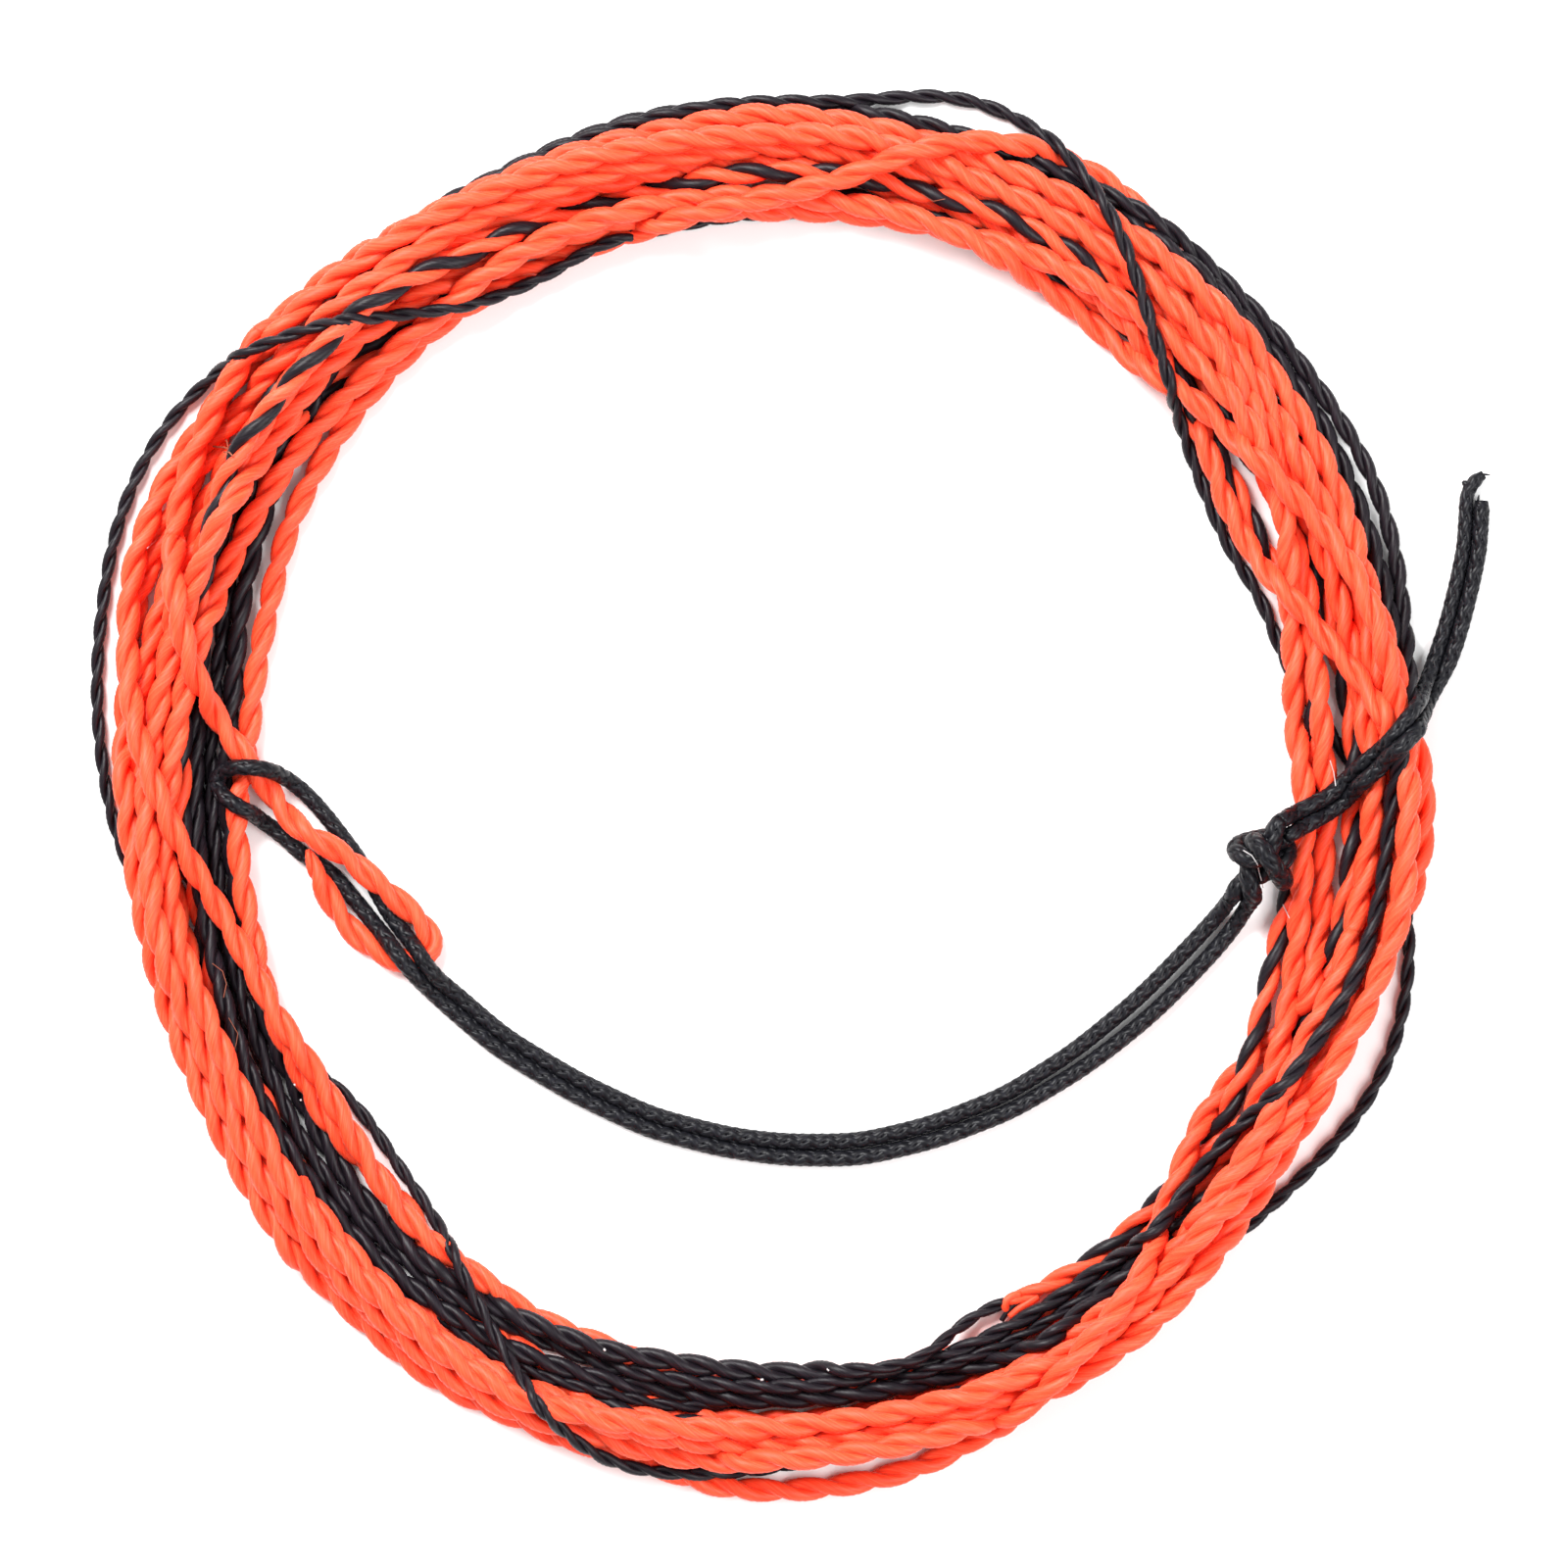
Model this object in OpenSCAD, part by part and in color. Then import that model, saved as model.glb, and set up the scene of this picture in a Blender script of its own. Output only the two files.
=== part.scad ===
// Furled two-colour line, coiled by hand, with the braided connector looped
// through the eye at its heavy end. The line tapers from an orange butt,
// through a stretch in both colours, to a fine black tip.
// Origin: on the surface that the coil lies on, under the middle of the part.
// +Z is up. All sizes are in millimetres.

/* [Furled line] */
// Thickness of the line at its fine tip
tip_d = 0.75; // [0.6:0.05:1]
// Thickness of the line at its heavy end
butt_d = 1.3; // [1.1:0.05:1.6]
// Loops of the coil that are black, counted from the tip
black_laps = 4.35; // [3.5:0.05:5]
// Loops that have one ply of each colour
striped_laps = 1.5; // [1:0.05:2]
// Loops that are orange, up to the heavy end
orange_laps = 9.15; // [8:0.05:10]

/* [Coil] */
// Radius of the innermost loop, to the middle of the line
coil_r = 28.5; // [26:0.5:32]
// How far the ring of loops is out of round, each way
coil_oval = 0.9; // [0:0.1:1.5]
// Layers that the loops are piled in
coil_layers = 4; // [2:2:4]
// Clear gap between neighbouring loops
lap_gap = 0.42; // [0.42:0.01:0.6]
// Angle at which the last loop leaves the coil for the eye
leave_angle = 168; // [160:1:172]
// How far the left bow of the outermost black loop stands out
left_bow = 1.8; // [0:0.1:2.5]
// How far the upper bow of the outermost black loop stands out
upper_bow = 1; // [0:0.1:2]

/* [Eye and connector] */
// Thickness of each leg of the eye
eye_d = 1.2; // [1:0.05:1.3]
// Thickness of the braid that the connector is tied from
braid_d = 0.85; // [0.7:0.05:0.95]
// Gap between the connector's two strands where they lie side by side
strand_gap = 0.1; // [0.05:0.05:0.3]
// Thickness of the overhand knot
knot_d = 3.1; // [2.6:0.1:3.4]
// Length of the overhand knot
knot_len = 2.9; // [2.4:0.1:3.2]

/* [Hidden] */

orange = [1, 0.38, 0.2];
black = [0.14, 0.14, 0.15];
mixed = [0.62, 0.26, 0.15];

lap_rings = 24;           // rings in one loop of the coil
coil_sides = 6;
cord_sides = 8;
flat_cut = 0.1;           // share of the line's thickness cut flat where it lies down
clear = 0.05;             // gap between cords that cross
coil_c = [-1.05, 0.1];    // middle of the ring of loops
left_bow_at = 158;        // angle at the middle of the left bow
left_bow_spread = 20;     // angle over which the left bow dies away
upper_bow_at = 70;
upper_bow_spread = 16;
drawn_r = 28.5;           // innermost loop's radius that the routes were laid out for
pull_x = 18;              // beyond this far to either side, a route moves whole with the coil

// --- Coil: where the line's middle lies after u loops from the tip ---

all_laps = black_laps + striped_laps + orange_laps;
layer_laps = all_laps / coil_layers;
lap_pitch = butt_d + lap_gap;
stripes_from = black_laps;
orange_from = black_laps + striped_laps;

function thickness(u) = tip_d + (butt_d - tip_d) * u / all_laps;
function angle_at(u) = leave_angle + 360 * (u - all_laps);
function layer_at(u) = min(floor(u / layer_laps), coil_layers - 1);

// Height of a layer: each lies a line's thickness and a gap above the last
function layer_z(k) = k == 0 ? (0.5 - flat_cut) * thickness(layer_laps)
    : layer_z(k - 1) + (thickness(k * layer_laps) + thickness((k + 1) * layer_laps)) / 2 + lap_gap;

// Even layers spiral out and odd layers spiral in
function spiral_r(u) = let (k = layer_at(u), w = u - k * layer_laps)
    coil_r + lap_pitch * (k % 2 == 0 ? w : layer_laps - w);

// Rises from 0 to 1 over the half turn round a reversal
function ease(x) = let (c = min(max(x + 0.5, 0), 1)) (1 - cos(180 * c)) / 2;
function coil_z(u) = let (k = round(u / layer_laps), past = 2 * (u - k * layer_laps))
    k == 0 || k == coil_layers || abs(past) > 0.5
        ? (layer_at(u) == 0 ? (0.5 - flat_cut) * thickness(u) : layer_z(layer_at(u)))
        : layer_z(k - 1) + (layer_z(k) - layer_z(k - 1)) * ease(past);

// The outermost black loop bows out at two places, each a smooth hump
function hump(a, middle, spread) = exp(-pow((a - middle) / spread, 2));
function bow(u) = let (a = (angle_at(u) % 360 + 360) % 360, outer = layer_laps)
    abs(u - outer) > 0.5 ? 0
        : left_bow * hump(a, left_bow_at, left_bow_spread)
            + upper_bow * hump(a, upper_bow_at, upper_bow_spread);

function coil_at(u) = let (a = angle_at(u), r = spiral_r(u) + bow(u) - coil_oval * cos(2 * a))
    [coil_c[0] + r * cos(a), coil_c[1] + r * sin(a), coil_z(u)];

// Direction of travel, from the chord between the rings on both sides
function coil_way(u) = let (a = max(u - 1 / lap_rings, 0), b = min(u + 1 / lap_rings, all_laps))
    unit(coil_at(b) - coil_at(a));

// Loops from u0 to u1, with both ends straight for one thickness
function lap_path(u0, u1) = let (d0 = thickness(u0), d1 = thickness(u1), few = 0.4 / lap_rings)
    concat([coil_at(u0), coil_at(u0) + d0 * coil_way(u0)],
           [for (i = [ceil((u0 + few) * lap_rings) : floor((u1 - few) * lap_rings)])
               coil_at(i / lap_rings)],
           [coil_at(u1) - d1 * coil_way(u1), coil_at(u1)]);
function lap_thickness(u0, u1) = let (few = 0.4 / lap_rings)
    concat([thickness(u0), thickness(u0)],
           [for (i = [ceil((u0 + few) * lap_rings) : floor((u1 - few) * lap_rings)])
               thickness(i / lap_rings)],
           [thickness(u1), thickness(u1)]);

coil_top = layer_z(coil_layers - 1) + butt_d / 2;

// Least clear gap of the coil to itself, measured between its rings
gap_points = [for (i = [0 : floor(all_laps * lap_rings)]) coil_at(i / lap_rings)];
least_gap = min([for (i = [0 : len(gap_points) - 1])
    for (j = [i + floor(lap_rings / 2) : 1 : len(gap_points) - 1])
        norm(gap_points[i] - gap_points[j])
            - (thickness(i / lap_rings) + thickness(j / lap_rings)) / 2]);
echo(least_gap_in_coil = least_gap, coil_top = coil_top);

// --- Heights that the free cords lie at ---

floor_z = braid_d / 2 + clear;                        // connector on the surface
leg_z = eye_d / 2 + clear;                            // eye on the surface
strand_z = leg_z + (eye_d + braid_d) / 2 + 2 * clear; // connector over the eye's low leg
arch_z = strand_z + (eye_d + braid_d) / 2 + 2 * clear; // eye's high leg over the connector
bight_rise = 1.8;                                     // from the eye's high leg to the bight
bight_z = arch_z + bight_rise;                        // connector's bight over the line
pile_z = coil_top + braid_d / 2 + clear;              // tails over the coil

// Routes are laid out for one size of coil, and their ends move with its inner side
function laid(p) = [p[0] + (coil_r - drawn_r) * max(-1, min(1, p[0] / pull_x)), p[1], p[2]];
function laid_all(route) = [for (p = route) laid(p)];

// From the last loop to the throat of the eye
lead_route = [[-27.9, 4.4, arch_z + 1.6], [-27.5, 2.7, arch_z + 1], [-26.9, 1.1, arch_z + 0.4],
              [-26.1, -0.3, arch_z + 0.1], [-25.2, -1.6, arch_z], [-24.6, -2.4, arch_z]];

// Round the eye, out along its high leg and back along its low leg
eye_route = [[-24.6, -2.4, arch_z], [-23.6, -2.9, arch_z], [-22.6, -3.3, arch_z],
             [-21.7, -4, arch_z], [-20.7, -4.8, arch_z], [-19.7, -5.5, arch_z - 0.1],
             [-18.8, -6, arch_z - 0.4], [-18, -6.6, arch_z - 0.9], [-17.7, -7.4, leg_z + 0.8],
             [-18, -8.2, leg_z + 0.1], [-18.7, -8.7, leg_z], [-19.6, -8.8, leg_z],
             [-20.6, -8.6, leg_z], [-21.5, -8, leg_z + 0.1], [-22.3, -7.2, leg_z + 0.5],
             [-23, -6.2, leg_z + 1.1], [-23.6, -5.1, leg_z + 1.8], [-24, -4, arch_z - 0.1],
             [-24, -3, arch_z]];
eye_turn = 9; // place in eye_route of the bend where its high leg ends and its low leg begins

// The connector's bight, from its upper strand round to its lower strand
bight_route = [[-18.8, -8, strand_z], [-19.8, -7.1, strand_z], [-20.7, -6.1, strand_z],
               [-21.3, -4.9, strand_z], [-21.7, -3.7, strand_z], [-22.5, -2.6, strand_z + 0.2],
               [-23.3, -1.6, strand_z + 0.6], [-24.2, -0.6, strand_z + 1.1],
               [-25.2, 0.3, strand_z + 1.8], [-26.3, 1, bight_z - 0.4], [-27.3, 1.4, bight_z],
               [-28.2, 1.4, bight_z], [-28.9, 1.1, bight_z], [-29.1, 0.6, bight_z],
               [-29, 0.1, bight_z], [-28.5, -0.4, bight_z - 0.2], [-27.8, -0.9, bight_z - 0.6],
               [-27.2, -1.4, strand_z + 1.8], [-26.6, -1.9, strand_z + 1.3],
               [-26, -2.3, strand_z + 0.8], [-25.4, -2.8, strand_z + 0.3],
               [-24.5, -3.5, strand_z - 0.1], [-23.5, -4, strand_z], [-22.6, -4.8, strand_z],
               [-21.7, -5.7, strand_z], [-20.8, -6.8, strand_z], [-19.6, -8.6, strand_z]];

// Middle of the two strands, side by side across the ring to the knot
pair_route = [[-18.1, -9.5, strand_z], [-16.6, -11, floor_z + 0.9], [-14.8, -12.7, floor_z + 0.5],
              [-12.8, -14.1, floor_z + 0.1], [-10, -15.5, floor_z], [-7, -16.9, floor_z],
              [-3.6, -17.8, floor_z], [0, -18.2, floor_z], [3.6, -18.2, floor_z],
              [7.3, -17.4, floor_z], [11, -15.9, floor_z], [14.6, -13.6, floor_z + 0.1],
              [18, -11.3, floor_z + 0.5], [20.6, -9, floor_z + 1.2]];

// Knot: middle, heading and slope of its axis
knot_c = [23.75, -3.4, 4.1];
knot_heading = 45;
knot_slope = 35;
wrap_ease = 0.015; // each wrap is this much slimmer than half the knot's length asks

// Middle of the two tails, over the coil
tail_route = [[26.5, -1.2, pile_z + 0.1], [28.2, -0.2, pile_z + 0.1], [30, 1.7, pile_z],
              [31.3, 3.6, pile_z], [32.4, 5.8, pile_z], [33.3, 7.9, pile_z - 0.1],
              [34, 10.1, pile_z - 0.5], [34.6, 12.4, pile_z - 1.2]];
long_end = [34.5, 15.9, 3.2];
short_end = [35.4, 14.8, 3.3];

// --- Cord as one tube swept along a route ---

function unit(v) = v / norm(v);

// Direction at a point: along its chord, so a ring stands square to the cord
function way(path, i) = let (n = len(path) - 1)
    unit(path[min(i + 1, n)] - path[max(i - 1, 0)]);

function ring(p, way, d, sides) = let (across = unit(cross(way, [0, 0, 1])),
                                       up = cross(across, way))
    [for (k = [0 : sides - 1]) p + d / 2 * (cos(k * 360 / sides) * up
                                            + sin(k * 360 / sides) * across)];

// Route moved sideways by s, level with itself
function beside(path, s) = [for (i = [0 : len(path) - 1])
    path[i] + s * unit(cross(way(path, i), [0, 0, 1]))];

function backwards(path) = [for (i = [len(path) - 1 : -1 : 0]) path[i]];

module tube(path, widths, sides, first_way, last_way) {
    n = len(path);
    rings = [for (i = [0 : n - 1])
        ring(path[i], i == 0 && first_way ? first_way : i == n - 1 && last_way ? last_way
             : way(path, i), widths[i], sides)];
    walls = [for (i = [0 : n - 2]) for (k = [0 : sides - 1])
        let (a = i * sides + k, b = i * sides + (k + 1) % sides)
            each [[a, a + sides, b], [b, a + sides, b + sides]]];
    caps = [for (k = [1 : sides - 2])
        each [[0, k, k + 1], [(n - 1) * sides, (n - 1) * sides + k + 1, (n - 1) * sides + k]]];
    polyhedron([for (r = rings) each r], concat(walls, caps));
}

module cord(path, d) {
    tube(path, [for (p = path) d], cord_sides);
}

// --- The pieces ---

// One stretch of the coiled line, cut flat where it lies on the surface
module laps(u0, u1) {
    difference() {
        tube(lap_path(u0, u1), lap_thickness(u0, u1), coil_sides, coil_way(u0), coil_way(u1));
        if (u0 < layer_laps)
            translate([coil_c[0] - 2 * coil_r, coil_c[1] - 2 * coil_r, -tip_d])
                cube([4 * coil_r, 4 * coil_r, tip_d]);
    }
}

module black_section() {
    color(black) laps(0, stripes_from);
}

module striped_section() {
    color(mixed) laps(stripes_from, orange_from);
}

module orange_section() {
    color(orange) laps(orange_from, all_laps);
}

// The heavy end from the coil to the throat of its eye
module butt_lead() {
    start = coil_at(all_laps);
    path = concat([start, start + butt_d * coil_way(all_laps)], laid_all(lead_route));
    color(orange) tube(path, [for (p = path) butt_d], coil_sides, coil_way(all_laps),
                       throat_way());
}

function throat_way() = unit(laid(eye_route[1]) - laid(eye_route[0]));

// The eye: the line doubled back on itself, its end laid in at the throat
module butt_eye() {
    path = laid_all(eye_route);
    high_leg = [for (i = [0 : eye_turn]) path[i]];
    low_leg = concat([for (i = [eye_turn : len(path) - 1]) path[i]], [path[1]]);
    color(orange) {
        tube(high_leg, [for (i = [0 : eye_turn]) i == 0 ? butt_d : eye_d], coil_sides, throat_way(),
             way(path, eye_turn));
        tube(low_leg, [for (p = low_leg) eye_d], coil_sides, way(path, eye_turn));
    }
}

// Connector: one braid, doubled, with its bight round the line and its strands through the eye
side = (braid_d + strand_gap) / 2;
knot_at = laid(knot_c);
knot_way = [cos(knot_heading) * cos(knot_slope), sin(knot_heading) * cos(knot_slope),
            sin(knot_slope)];
knot_in = knot_at - knot_len / 2 * knot_way;
knot_out = knot_at + knot_len / 2 * knot_way;

module connector_loop() {
    pair = concat(laid_all(pair_route), [for (far = [1.5, 1, 0]) knot_in - far * braid_d * knot_way]);
    path = concat(backwards(beside(pair, -side)), laid_all(bight_route), beside(pair, side));
    color(black) cord(path, braid_d);
}

// Overhand knot: two wraps of the doubled braid, drawn tight round it
module connector_knot() {
    wrap_r = knot_len / 4 - wrap_ease;
    core_r = (knot_d - knot_len / 2) / 2;
    color(black) translate(knot_at) rotate([0, 90 - knot_slope, knot_heading])
        rotate_extrude($fn = 48) {
            translate([0, -knot_len / 2]) square([side + braid_d / 2 + 2 * clear, knot_len]);
            for (s = [-1, 1])
                translate([core_r, s * wrap_r]) circle(r = wrap_r, $fn = 32);
            translate([0, -wrap_r]) square([core_r, 2 * wrap_r]);
        }
}

function tail_path(s, end) =
    let (mid = concat([for (far = [0, 1, 1.5]) knot_out + far * braid_d * knot_way],
                      laid_all(tail_route)))
    concat(beside(mid, s), [laid(end)]);

module long_tail() {
    color(black) cord(tail_path(-side, long_end), braid_d);
}

module short_tail() {
    color(black) cord(tail_path(side, short_end), braid_d);
}

black_section();
striped_section();
orange_section();
butt_lead();
butt_eye();
connector_loop();
connector_knot();
long_tail();
short_tail();
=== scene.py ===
import bpy
import numpy as np
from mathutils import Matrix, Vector


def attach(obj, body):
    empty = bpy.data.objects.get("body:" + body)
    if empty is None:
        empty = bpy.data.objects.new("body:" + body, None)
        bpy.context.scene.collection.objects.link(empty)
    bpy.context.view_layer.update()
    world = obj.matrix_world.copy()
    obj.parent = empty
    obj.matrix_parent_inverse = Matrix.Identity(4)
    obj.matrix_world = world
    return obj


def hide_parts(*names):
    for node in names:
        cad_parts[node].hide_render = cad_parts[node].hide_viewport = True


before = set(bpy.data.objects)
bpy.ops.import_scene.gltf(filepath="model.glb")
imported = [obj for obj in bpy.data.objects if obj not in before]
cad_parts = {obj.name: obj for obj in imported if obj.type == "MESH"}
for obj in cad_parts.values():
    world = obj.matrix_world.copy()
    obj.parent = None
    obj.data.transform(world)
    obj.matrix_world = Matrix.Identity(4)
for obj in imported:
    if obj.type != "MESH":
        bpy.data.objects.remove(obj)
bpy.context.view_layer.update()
mm = 0.001

view = dict(centre=(-0.325, 0.5), height=80, lens=180, sensor=36, lookAt=2, clip=(0.01, 10))


def makeCamera(v):
    # Straight above the middle, as far up as makes the picture v["height"] mm wide at v["lookAt"].
    cameraData = bpy.data.cameras.new("camera")
    cameraData.lens, cameraData.sensor_width = v["lens"], v["sensor"]
    camera = bpy.data.objects.new("camera", cameraData)
    bpy.context.scene.collection.objects.link(camera)
    distance = v["height"] * v["lens"] / v["sensor"] + v["lookAt"]
    camera.location = (v["centre"][0] * mm, v["centre"][1] * mm, distance * mm)
    cameraData.clip_start, cameraData.clip_end = v["clip"]
    bpy.context.scene.camera = camera


makeCamera(view)
bpy.context.scene.view_settings.view_transform = "Standard"


def smoothAlong(values, reach):
    # A running mean with a bell-shaped weight, the ends held.
    half = int(3 * reach) + 1
    bell = np.exp(-0.5 * (np.arange(-half, half + 1) / reach) ** 2)
    bell /= bell.sum()
    columns = values.reshape(len(values), -1)
    padded = np.vstack([columns[:1].repeat(half, 0), columns, columns[-1:].repeat(half, 0)])
    smooth = np.stack([np.convolve(c, bell, "valid") for c in padded.T], 1)
    return smooth.reshape(values.shape)


def travelled(points):
    # The distance along the line at each of its points.
    return np.r_[0, np.cumsum(np.linalg.norm(np.diff(points, axis=0), axis=1))]


def resample(points, spacing):
    # The same line with its points an even distance apart.
    along = travelled(points)
    even = np.linspace(0, along[-1], int(round(along[-1] / spacing)) + 1)
    return np.stack([np.interp(even, along, c) for c in points.T], 1)


coil = dict(centre=(-1.05, 0.25), rankHeight=0.62, spacing=0.6, step=0.5, radiusReach=3, rankReach=5,
            bendReach=4, fine=0.1, floorLift=0.5)

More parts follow.
